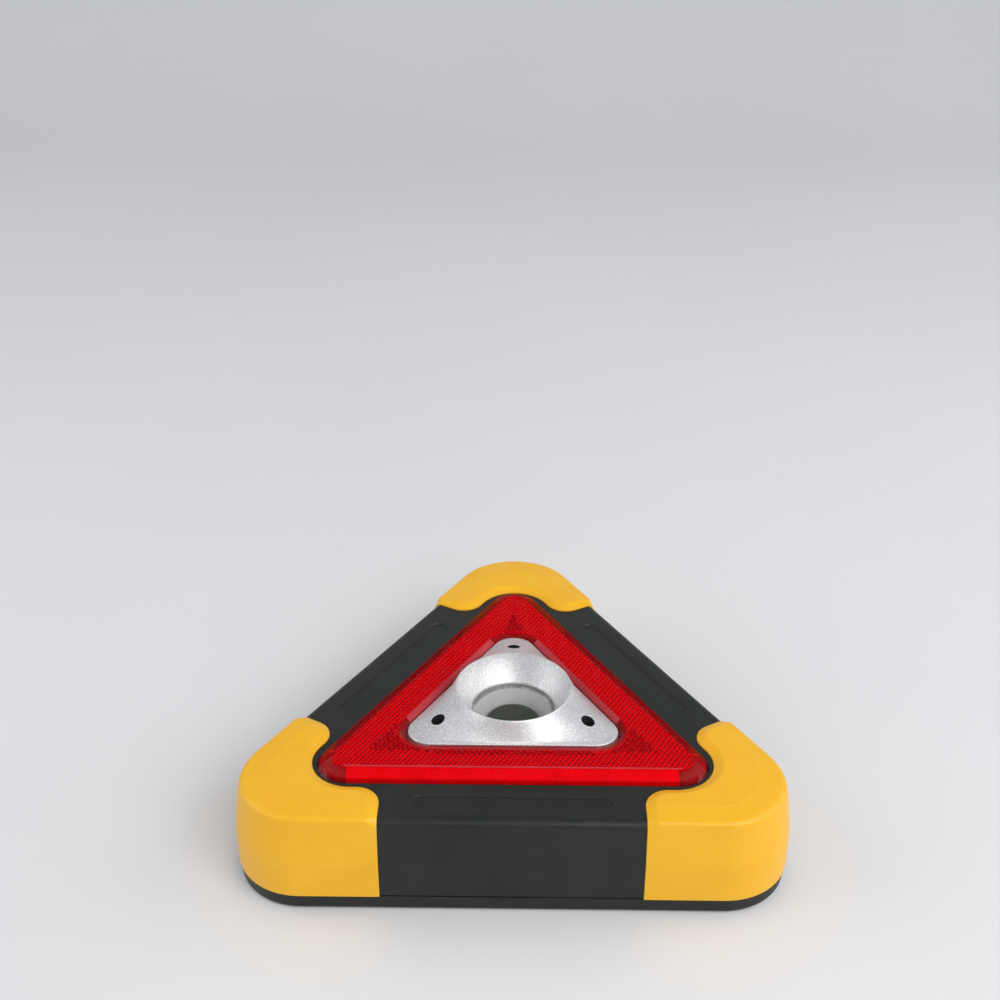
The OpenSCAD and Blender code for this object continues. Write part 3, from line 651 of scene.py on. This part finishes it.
def dash_places():
    """Middles of the dashes of painted shade: a patch off each inner corner, and two rows below the inner
    bottom edge.
    """
    pitch, row, patch_reach, margin = 2.0, 1.2, 13.0, 0.9
    out = []
    for side_turn, spread in ((0, 0.28), (120, 0.58), (240, 0.58)):
        n = turn((0, 1), side_turn)
        cx, cy = turn((0, 2 * IN_A - IN_R), side_turn)
        for i in range(-8, 9):
            for j in range(-9, 10):
                x, y = turn(((i + 0.5 * (j % 2)) * pitch, j * row), DASH_TURN)
                along, across = x * n[0] + y * n[1], abs(-x * n[1] + y * n[0])
                mx, my, e = nearest_edge(cx + x, cy + y, IN_A + margin, IN_R + margin)
                if across < spread * (patch_reach - along) and mx * (cx + x) + my * (cy + y) > e:
                    out.append((cx + x, cy + y))
    for i in range(-13, 14):
        out += [(i * pitch, -IN_A - 1.1), ((i + 0.5) * pitch, -IN_A - 2.2)]
    return [q for q in out if math.hypot(*q) < 60]


def add_dashes(s):
    """Dashes of painted shade among the cells, each a low six-sided prism."""
    outline = [(0.85, 0), (0.45, 0.34), (-0.45, 0.34), (-0.85, 0), (-0.45, -0.34), (0.45, -0.34)]
    for x, y in dash_places():
        spots = [(x + px, y + py) for px, py in (turn(q, DASH_TURN) for q in outline)]
        s.solid([[(px, py, FACE + z) for px, py in spots] for z in (2.3, 2.86)], PAINTED_SHADE)


def add_slopes(s):
    """Under the outer slopes: a plain red bar at the bottom, and teeth with bars of painted shade between on
    the rest.
    """
    bar = [(37.0, 2.6), (40.6, 0.66), (40.6, -4.2), (39.4, -4.2), (39.4, 0.2), (37.0, 1.5)]
    tooth = [(37.0, 2.6), (40.6, 0.66), (40.6, -0.6), (37.0, 1.5)]
    notch = [(37.5, 2.7), (40.4, 1.14), (40.4, 0.5), (37.5, 1.9)]

    def section(side, x, points):
        return [side_point(120 * side, x, a, FACE + z) for a, z in points]

    s.solid([section(0, 55 * (i / 12 - 1), bar) for i in range(25)])
    for side in TOOTH_SIDES:
        for i in range(-40, 41):
            ends = [s.add(section(side, i * CELL + x, tooth)) for x in (-0.4, 0.4)]
            s.bridge(*ends)
            # the teeth's ends carry painted shade
            s.face(ends[0][::-1], GAP_SHADE)
            s.face(ends[1], GAP_SHADE)
    for side in TOOTH_SIDES:
        for i in range(-40, 40):
            s.solid([section(side, i * CELL + x, notch) for x in (0.42, 0.94)], PAINTED_SHADE)


def lens_cells():
    """The lens's moulded inner face: reflecting cells, dashes of painted shade between them, and teeth on the
    slopes; the cells' walls and the teeth's ends carry painted shade too.
    """
    s = Shape()
    add_gems(s)
    add_dashes(s)
    add_slopes(s)
    o = piece("lens_cells", s, "cell_red", "cell_gap_shade", "cell_painted_shade")
    polish(o, 5, weighted=False)
    hand_in(o, None)


def lens_shade_sheet():
    """Thin dark ring that the cells stand over, with a skirt down under the outer slopes: painted shade
    behind the cells and the clear corners.
    """
    profile = [(27.2, 10.9, 0.9), (36.9, 5.0, 0.9), (38.9, 6.9, -0.3), (38.9, 6.9, -4.2), (39.2, 7.2, -4.2),
               (39.2, 7.2, -0.1), (36.9, 5.0, 1.2), (27.2, 10.9, 1.2)]
    s = Shape()
    s.loops([loop_at(a, r, FACE + z) for a, r, z in profile], closed=True)
    o = piece("lens_shade_sheet", s, "black_abs")
    polish(o, 30, weighted=False)
    hand_in(o, None)


# ------------------------------------------------------------------ reflector and clear lens
def polar_ring(a, r, w):
    """Distance from the middle to the rounded triangle in direction w."""
    w = (w - 90 + 60) % 120 - 60
    centre = 2 * (a - r)
    c, n = math.cos(deg(w)), math.sin(deg(w))
    corner = centre * c + math.sqrt(max(0.0, r * r - (centre * n) ** 2)) if abs(centre * n) < r else -1
    flat = a / math.cos(deg(60 - abs(w)))
    reach = math.degrees(math.atan2(r * math.sin(deg(60)), centre + r * math.cos(deg(60))))
    return corner if abs(w) < reach else flat


def hole_places():
    """Middles of the reflector's three screw holes."""
    return [(HOLE_REACH * math.cos(deg(c)), HOLE_REACH * math.sin(deg(c))) for c in CORNERS]


def disc(x, y, r, z, n=48):
    return [(px, py, z) for px, py in circle(x, y, r, n)]


def reflector():
    """Triangular silver dish that rises to a round rim, with a bowl inside and three screw holes."""
    steps, bowl_steps, skirt_z = 18, 16, -6.0
    rim_r, rim_z, foot_z, swell = 20.62, 8.95, 2.34, 1.16
    mouth_r, throat_r, throat_z, depth = 20.1, 14.6, -0.3, 9.4
    directions = [360.0 * i / 240 for i in range(240)]

    def skin_loop(distance, z):
        """Loop whose distance from the middle is a function of the direction."""
        return [(distance(w) * math.cos(deg(w)), distance(w) * math.sin(deg(w)), FACE + z)
                for w in directions]

    def ring_loop(a, r, z):
        return skin_loop(lambda w: polar_ring(a, r, w), z)

    def round_loop(r, z):
        return skin_loop(lambda w: r, z)

    def slope_loop(t):
        """Between the triangular foot at t = 0 and the round rim at t = 1."""
        def distance(w):
            foot = polar_ring(23.7, 7.4, w)
            return foot + (rim_r - foot) * t
        return skin_loop(distance, foot_z + (rim_z - foot_z) * (t ** swell))

    def bowl_loop(t):
        return round_loop(throat_r + (mouth_r - throat_r) * (1.35 * t - 0.35 * t * t), throat_z + depth * t)

    loops = [ring_loop(24.3, 8.0, skirt_z), ring_loop(24.3, 8.0, 1.75), ring_loop(24.26, 7.96, 2.0),
             ring_loop(24.12, 7.82, 2.2), ring_loop(23.9, 7.6, 2.32)]
    loops += [slope_loop(i / steps) for i in range(1, steps + 1)]
    loops += [round_loop(r, z) for r, z in ((20.5, 9.08), (20.36, 9.18), (20.2, 9.2), (20.08, 9.12))]
    loops += [bowl_loop(i / bowl_steps) for i in range(bowl_steps - 1, 0, -1)]
    loops += [round_loop(r, z) for r, z in ((14.62, throat_z), (14.6, -0.7), (15.8, -0.7), (15.8, -1.9),
                                            (17.3, -1.9), (17.4, 0.8))]
    loops += [ring_loop(22.7, 6.4, 0.8), ring_loop(22.7, 6.4, skirt_z)]
    s = Shape()
    s.loops(loops, closed=True)
    o = piece("reflector_visual", s, "satin_reflector")
    tube = [(3.4, -3.0), (3.4, 1.6)]
    hole = [(1.3, -4.0), (1.3, -1.0), (HOLE_R, -1.0), (HOLE_R, 12.0)]
    for profile, operation in ((tube, "UNION"), (hole, "DIFFERENCE")):
        carve(o, [cutter([disc(x, y, r, FACE + z) for r, z in profile]) for x, y in hole_places()], operation)
    soften_rims(o)
    shade_hole_walls(o)
    polish(o, 34)
    hand_in(o, "reflector")


def shade_hole_walls(o):
    """Gives the walls of the screw holes a dark material, as painted shade inside the holes."""
    low, high, slack = -1.2, 4.3, 0.01
    o.data.materials.append(MATS["dark_parts"])
    for f in o.data.polygons:
        x, y, z = f.center.x / MM, f.center.y / MM - MID_Y, f.center.z / MM - FACE
        near = min(math.hypot(x - hx, y - hy) for hx, hy in hole_places())
        f.material_index = 1 if near < HOLE_R + slack and low < z < high else 0


def soften_rims(o):
    """Rounds the upper edges of the three screw holes."""
    slack, lowest, least_turn, rounding = 0.03, 3, 0.7, 0.28
    me = o.data
    bm = bmesh.new()
    bm.from_mesh(me)
    picked = []
    for e in bm.edges:
        height = (e.verts[0].co.z + e.verts[1].co.z) / 2 / MM - FACE
        for x, y in hole_places():
            near = [abs(math.hypot(v.co.x / MM - x, v.co.y / MM - MID_Y - y) - HOLE_R) < slack
                    for v in e.verts]
            if all(near) and height > lowest and len(e.link_faces) == 2 and e.calc_face_angle(0) > least_turn:
                picked.append(e)
    bmesh.ops.bevel(bm, geom=picked, offset=rounding * MM, segments=3, profile=0.5, affect="EDGES",
                    clamp_overlap=True)
    bm.to_mesh(me)
    bm.free()


def revolve(profile, n):
    """Closed solid of revolution; profile runs from one axis point to the other, (radius, height) each."""
    s = Shape()
    first = s.add([(0, 0, profile[0][1])])[0]
    loops = [s.add(disc(0, 0, r, z, n)) for r, z in profile[1:-1]]
    last = s.add([(0, 0, profile[-1][1])])[0]
    for i in range(n):
        j = (i + 1) % n
        s.face((first, loops[0][j], loops[0][i]))
        s.face((last, loops[-1][i], loops[-1][j]))
    for a, b in zip(loops, loops[1:]):
        s.bridge(a, b)
    return s


def convex_lens():
    """Clear lens with a flat back, a flange and a spherical dome."""
    ball, base, seat, steps = 26.0, 14.5, -0.3, 24
    centre = seat - math.sqrt(ball ** 2 - base ** 2)
    top = math.degrees(math.asin(base / ball))
    profile = [(0, -1.9), (5, -1.9), (10, -1.9), (15.5, -1.9), (15.7, -1.8), (15.7, -0.72), (base, -0.7)]
    for i in range(steps + 1):
        w = deg(top * (1 - i / steps))
        profile.append((ball * math.sin(w), centre + ball * math.cos(w)))
    o = piece("convex_lens_visual", revolve([(r, FACE + z) for r, z in profile], 144), "clear_lens")
    polish(o, 30, weighted=False)
    hand_in(o, "convex_lens")


def main_led():
    """Round light: a thin base plate with a low dome of silicone on it."""
    seat = 27.5
    outline = [(0, 0), (4, 0), (9.8, 0), (9.8, 0.8), (9.4, 0.8), (9.4, 2.4), (9.3, 2.75), (9.05, 3.05),
               (8.6, 3.3), (7.8, 3.5), (6.0, 3.68), (3.0, 3.77), (0, 3.8)]
    o = piece("main_led_visual", revolve([(r, seat + z) for r, z in outline], 96), "led_chip")
    polish(o, 40, weighted=False)
    hand_in(o, "main_led")


# ------------------------------------------------------------------ back cover, stand and battery door
# An outline is a function of how much it is grown, and levels are (grow, height) each.
ROUND_LEVELS = [(-0.9, 0.0), (-0.42, 0.06), (-0.14, 0.2), (0.0, 0.5)]


def u_outline(g):
    """U-shaped outline of the stand, grown by g."""
    x, low, in_x, in_y, top = 48 + g, -56.5 - g, 40 - g, -49.5 + g, 20.0
    big, small = 12 + g, 3.5
    return ([(-x, top), (-x, 0), (-x, -25)] + arc(-x + big, low + big, big, 180, 270, 12)
            + [(-20, low), (0, low), (20, low)]
            + arc(x - big, low + big, big, 270, 360, 12)
            + [(x, -25), (x, 0), (x, top), (in_x, top), (in_x, 0)]
            + arc(in_x - small, in_y + small, small, 0, -90, 8) + [(0, in_y)]
            + arc(-in_x + small, in_y + small, small, 270, 180, 8) + [(-in_x, 0), (-in_x, top)])


def box_outline(x0, x1, y0, y1, r=0.8, n=5):
    return lambda g: [((x0 + x1) / 2 + x, (y0 + y1) / 2 + y)
                      for x, y in rounded_box(x1 - x0 + 2 * g, y1 - y0 + 2 * g, max(0.05, r + g), n)]


def disc_outline(x, y, r, n=48):
    return lambda g: circle(x, y, r + g, n)


def capsule_outline(x, y, length, width):
    """Pill along y."""
    return lambda g: [(x + py, y + px) for px, py in capsule(length + 2 * g, width + 2 * g, 10)]


def prism(outline, levels):
    return [[(x, y, z) for x, y in outline(g)] for g, z in levels]


def prism_cutter(outline, levels):
    return cutter(prism(outline, levels))


def mouth(depth, bevel=0.35):
    """Levels of a pocket cut into the back, with a small rounded mouth."""
    return [(bevel, -1.0), (bevel, 0.0), (bevel * 0.45, bevel * 0.2), (bevel * 0.12, bevel * 0.55),
            (0, bevel), (0, depth)]


def rod_cutter(middle, half, y, z, r, n, soft=0.0):
    """Cylinder along x, with softened ends."""
    x0, x1 = middle - half, middle + half
    cuts = [(x0, r - soft), (x0 + soft, r), (x1 - soft, r), (x1, r - soft)] if soft else [(x0, r), (x1, r)]
    return cutter([[(x, py, pz) for py, pz in circle(y, z, q, n)] for x, q in cuts])


def screw_places():
    """The five case screws: one in each corner, and one beside each upper side."""
    corner_reach = 80
    out = [(corner_reach * math.cos(deg(c)), corner_reach * math.sin(deg(c))) for c in CORNERS]
    x, y = turn((26, -50), RIGHT)
    return out + [(x, y), (-x, y)]


def back_cover():
    """Rear half of the casing, with recesses for stand and door, the battery bay and the screw holes."""
    rows = [(58.2, 2.4), (58.2, 8.8), (58.4, 9.0), (59.6, 9.0), (59.8, 8.8), (59.8, 6.0), (62.4, 6.0),
            (62.56, 5.94), (62.6, 5.8), (62.6, 1.9), (62.52, 1.4), (62.3, 0.95), (61.95, 0.55), (61.5, 0.24),
            (61.0, 0.05), (60.6, 0.0)]
    o = piece("back_cover_visual", solid_of([body_loop(a, z) for a, z in rows]), "black_abs")
    pins = [sx * PIN_X for sx in (-1, 1)]
    joins = [prism_cutter(u_outline, [(2.4, 1.0), (2.4, 7.4)]),
             prism_cutter(box_outline(-36.9, 36.9, -48.3, -7.8), [(0, 1.1), (0, 22.2)])]
    joins += [prism_cutter(box_outline(x - 6.4, x + 6.4, 14.2, 28.8), [(0, 1.2), (0, 9.0)]) for x in pins]
    joins += [prism_cutter(disc_outline(x, y, 4.2), [(0, 1.3), (0, 8.9)]) for x, y in screw_places()]
    carve(o, joins, "UNION")
    cuts = [prism_cutter(u_outline, mouth(5.4)),
            prism_cutter(box_outline(-37.3, 37.3, -48.3, -7.2, 1.2), mouth(2.4, 0.3)),
            prism_cutter(box_outline(-35.6, 35.6, -47.0, -9.1, 0.6), [(0, 1.5), (0, 21.6)])]
    for sx, pin in zip((-1, 1), pins):
        cuts.append(prism_cutter(box_outline(pin - 4.4, pin + 4.4, 16.2, 26.8, 1.0), mouth(7.0)))
        cuts.append(rod_cutter(sx * LUG_X, 4.5, LUG_Y, LUG_Z, 1.6, 40))
        cuts.append(rod_cutter(pin, 6.0, PIN_Y, PIN_Z, 1.25, 24))
    for x, y in screw_places():
        cuts.append(prism_cutter(disc_outline(x, y, 3.1), mouth(3.0, 0.3)))
        cuts.append(prism_cutter(disc_outline(x, y, 1.6, 24), [(0, 2.0), (0, 12.0)]))
    carve(o, cuts)
    polish(o, 34)
    hand_in(o, "back_cover")


def stand():
    """U-shaped folding stand with pin eyes, a hang hole, a seat for its foot and grooves along its legs."""
    low, high = 0.6, 5.0
    levels = [(g, low + z) for g, z in ROUND_LEVELS] + [(g, high - z) for g, z in reversed(ROUND_LEVELS)]
    hang_hole = [(0.4, 0.0), (0.4, 0.6), (0.12, 0.75), (0, 1.0), (0, 4.6), (0.12, 4.85), (0.4, 5.0),
                 (0.4, 6.0)]
    pins = [sx * PIN_X for sx in (-1, 1)]
    o = piece("stand_visual", solid_of(prism(u_outline, levels)), "black_abs")
    carve(o, [rod_cutter(x, 4, PIN_Y, PIN_Z, 3.2, 48, 0.3) for x in pins], "UNION")
    cuts = [rod_cutter(x, 5, PIN_Y, PIN_Z, 1.3, 24) for x in pins]
    cuts.append(prism_cutter(disc_outline(0, CROSSBAR_Y, 2.0), hang_hole))
    cuts.append(prism_cutter(box_outline(-31, 31, -57.5, -55.5, 0.3), [(0, 1.3), (0, 4.3)]))
    for x in pins:
        groove = capsule_outline(x, -14, 46, 3.0)
        cuts += [prism_cutter(groove, [(0, z0), (0, z1)]) for z0, z1 in ((0.0, 1.0), (4.6, 6.0))]
    carve(o, cuts)
    polish(o, 34)
    hand_in(o, "stand", "stand")


def stand_foot():
    """Ribbed rubber strip along the crossbar."""
    levels = [(-0.35, 1.3), (-0.1, 1.4), (0, 1.6), (0, 4.0), (-0.1, 4.2), (-0.35, 4.3)]
    pitch, width, start = 3.6, 1.0, -29.6
    o = piece("stand_foot_visual", solid_of(prism(box_outline(-31, 31, -56.7, -55.5, 0.4), levels)),
              "black_rubber")
    grooves = [box_outline(start + pitch * i, start + width + pitch * i, -57.3, -56.4, 0.1, 2)
               for i in range(17)]
    carve(o, [prism_cutter(groove, [(0, 0), (0, 6)]) for groove in grooves])
    polish(o, 34)
    hand_in(o, "stand_foot", "stand")


def battery_door():
    """Door with two lugs, a finger notch and grip grooves."""
    levels = [(g * 0.7, 0.3 + z * 0.7) for g, z in ROUND_LEVELS] + [(0, 2.1), (-0.2, 2.3)]
    finger = [(0.3, -0.5), (0.3, 0.3), (0.0, 0.5), (-1.2, 1.3)]
    groove_pitch, lug_half = 6, 4
    o = piece("battery_door_visual", solid_of(prism(box_outline(-37, 37, -48.0, -9.7, 1.0), levels)),
              "black_abs")
    joins = []
    for x in (-LUG_X, LUG_X):
        joins.append(rod_cutter(x, lug_half, LUG_Y, LUG_Z, 1.2, 32, 0.15))
        web = box_outline(x - 3.9, x + 3.9, -10.2, LUG_Y, 0.1, 2)
        joins.append(prism_cutter(web, [(0, 0.95), (0, 2.05)]))
    carve(o, joins, "UNION")
    cuts = [prism_cutter(disc_outline(0, CROSSBAR_Y, 9.0, 72), finger)]
    cuts += [prism_cutter(capsule_outline(groove_pitch * i, -30, 20, 2.0), [(0, -0.5), (0, 0.9)])
             for i in range(-4, 5)]
    carve(o, cuts)
    polish(o, 34)
    hand_in(o, "battery_door", "door")


# ------------------------------------------------------------------ controls on the right side
def side_loops(outline, levels, x):
    """Loops of a solid that stands out of the right side: levels are (grow, way from the middle)."""
    return [[side_point(RIGHT, x + px, a, PANEL_Z + pz) for px, pz in outline(g)] for g, a in levels]


def power_button():
    """Round button with a dished face, on a flange behind the side wall."""
    neck = [(-2.3, 55.0), (-2.3, 56.9), (1.0, 56.92), (1.0, 57.88), (0.0, 57.9), (0.0, 60.5)]
    face = [(-0.16, 61.0), (-0.5, 61.3), (-0.75, 61.38), (-1.1, 61.3), (-1.3, 61.22), (-2.6, 61.32),
            (-3.6, 61.4), (-4.2, 61.4)]
    o = piece("power_button_visual", solid_of(side_loops(disc_outline(0, 0, 4.5, 64), neck + face, BUTTON_X)),
              "red_button")
    polish(o, 30)
    hand_in(o, "power_button", "button")


def port_cover():
    """Rubber flap over the power socket, with a plug behind it and three grip grooves."""
    flap, flap_x = [(0, 60.3), (0, 61.2), (-0.1, 61.42), (-0.3, 61.56), (-0.7, 61.6)], 5.7
    plug, groove = box_outline(-3.9, 3.9, -1.4, 1.4, 0.8), box_outline(-0.3, 0.3, -2.4, 2.4, 0.25, 3)
    o = piece("port_cover_visual", solid_of(side_loops(box_outline(-6.7, 6.7, -4, 4, 1.4), flap, flap_x)),
              "black_rubber")
    carve(o, [cutter(side_loops(plug, [(0, 59.1), (0, 60.6)], PORT_X))], "UNION")
    carve(o, [cutter(side_loops(groove, [(0, 61.3), (0, 62.5)], x)) for x in (0.6, 1.8, 3.0)])
    polish(o, 34)
    hand_in(o, "port_cover", "port_flap")


# ------------------------------------------------------------------ camera, stage and lights
def camera():
    """Long lens from the front and above, aimed over the lamp so that the lamp lies low in the frame."""
    pitch, yaw, distance, aside, above = deg(28.170), deg(0.887), 487.125, -4.688, 73.565
    forward = Vector((0, math.cos(pitch), -math.sin(pitch)))
    right = Vector((1, 0, 0))
    up = Vector((0, math.sin(pitch), math.cos(pitch)))
    spin = Matrix.Rotation(yaw, 3, "Z")
    spot = spin @ (aside * right + above * up - distance * forward) + Vector((0, MID_Y, FACE))
    cam = bpy.data.cameras.new("camera")
    cam.lens, cam.sensor_width = 49.293, 36.0
    cam.clip_start, cam.clip_end = 0.01, 50
    o = link(bpy.data.objects.new("camera", cam))
    axes = Matrix((spin @ right, spin @ up, spin @ -forward)).transposed()
    o.matrix_world = Matrix.Translation(spot * MM) @ axes.to_4x4()
    bpy.context.scene.camera = o


def stage():
    """Pale floor that curves up into a backdrop."""
    half_width, start, bend, r, height = 9000, -9000, 900, 700, 3500
    profile = [(start, 0.0), (bend, 0.0)]
    profile += [(bend + r * math.sin(deg(w)), r - r * math.cos(deg(w))) for w in range(6, 91, 6)]
    profile += [(bend + r, height)]
    s = Shape()
    lines = [s.add([(-half_width, y, z), (half_width, y, z)]) for y, z in profile]
    for a, b in zip(lines, lines[1:]):
        s.bridge(a, b, closed=False)
    n = Nodes("floor")
    n.drift((3, 4, 0.5), (0.74, 0.74, 0.745), (0.77, 0.77, 0.775))
    n.gloss(n.noise((30, 4, 0.5)), 0.5, 0.62)
    me = bpy.data.meshes.new("floor")
    me.from_pydata([(x * MM, y * MM, z * MM) for x, y, z in s.v], [], s.f)
    me.materials.append(MATS["floor"])
    o = link(bpy.data.objects.new("floor", me))
    polish(o, 60, weighted=False)


def lamp(name, place, size, power):
    """Soft rectangular light that points at the origin; places and sizes are in metres."""
    data = bpy.data.lights.new(name, "AREA")
    data.shape, data.size, data.size_y = "RECTANGLE", *size
    data.energy = power
    o = link(bpy.data.objects.new(name, data))
    o.location = place
    o.rotation_mode = "QUATERNION"
    o.rotation_quaternion = (-Vector(place)).to_track_quat("-Z", "Y")


def lights():
    scene = bpy.context.scene
    scene.world = bpy.data.worlds.new("world")
    scene.world.use_nodes = True
    sky = scene.world.node_tree.nodes["Background"]
    sky.inputs["Color"].default_value = (0.93, 0.96, 1.0, 1)
    sky.inputs["Strength"].default_value = 0.54
    lamp("key", (0.6, -0.85, 0.95), (1.0, 0.8), 10.0)
    lamp("left", (-1.0, 0.0, 0.6), (1.1, 0.9), 3.6)
    lamp("right", (1.0, 0.1, 0.6), (1.1, 0.9), 3.6)
    scene.view_settings.view_transform = "Standard"
    scene.view_settings.look = "None"
    scene.view_settings.exposure = 0.0


# ------------------------------------------------------------------ the build
random.seed(7)
front_frame()
guard("guard_top_visual", "guard_top_corner", 0)
guard("guard_left_visual", "guard_left_corner", 120)
guard("guard_right_visual", "guard_right_corner", 240)
red_lens()
lens_cells()
lens_shade_sheet()
reflector()
convex_lens()
main_led()
back_cover()
stand()
stand_foot()
battery_door()
power_button()
port_cover()

for name, o in frame["nodes"].items():
    slot = next((p["material_slot"] for p in frame["record"]["subparts"] if p["node"] == name), "black_abs")
    o.data.materials.clear()
    o.data.materials.append(MATS[slot])

camera()
stage()
lights()
